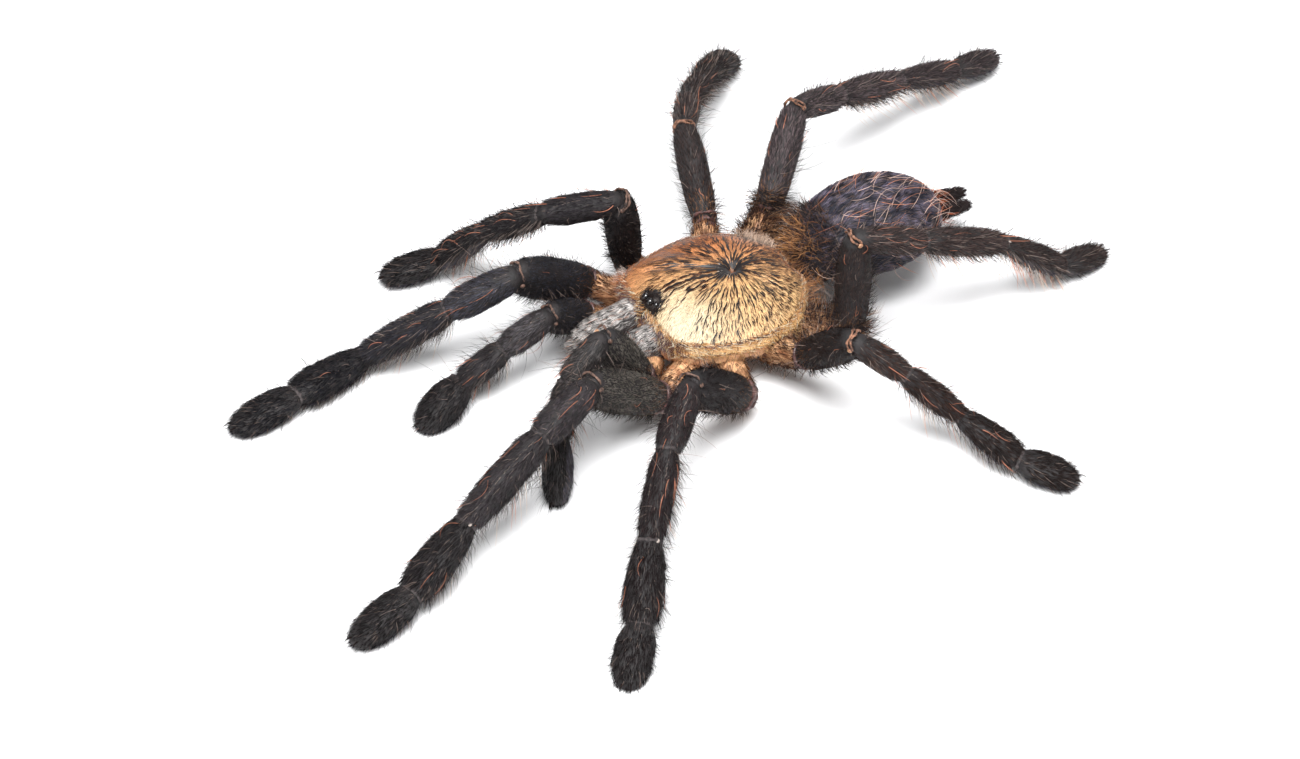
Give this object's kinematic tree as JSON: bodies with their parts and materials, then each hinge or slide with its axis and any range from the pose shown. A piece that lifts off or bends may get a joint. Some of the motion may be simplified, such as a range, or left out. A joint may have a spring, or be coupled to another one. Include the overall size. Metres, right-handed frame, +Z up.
{
  "type": "dried tarantula specimen",
  "caption": "Dried tarantula posed as in life, legs spread and feet flat: domed carapace with an eye turret, stout jaws with folded fangs, palps, egg-shaped abdomen and spinnerets.",
  "frame": {"origin": "on the surface under the middle of the spread limbs", "axes": "head towards -Y, tail towards +Y, the specimen's left side towards +X, +Z up"},
  "size_m": [0.1022, 0.1276, 0.021],
  "materials": {
    "golden_hair": "short golden hair with dark striae",
    "slate_fur": "short blue-black fur with long orange hairs",
    "dark_fur": "short charcoal to brown-black fur with sparse orange bristles",
    "silver_hair": "short silver-grey hair with fine dark striae",
    "fang": "glossy black horn"
  },
  "bodies": {
    "root": {"cephalothorax": "golden_hair", "abdomen": "slate_fur", "spinneret_left": "dark_fur", "spinneret_right": "dark_fur", "chelicera_left": "silver_hair", "chelicera_right": "silver_hair", "fang_left": "fang", "fang_right": "fang", "pedipalp_left": "dark_fur", "leg_1_left": "dark_fur", "leg_2_left": "dark_fur", "leg_3_left": "dark_fur", "leg_4_left": "dark_fur", "pedipalp_right": "dark_fur", "leg_1_right": "dark_fur", "leg_2_right": "dark_fur", "leg_3_right": "dark_fur", "leg_4_right": "dark_fur"}
  },
  "joints": []
}
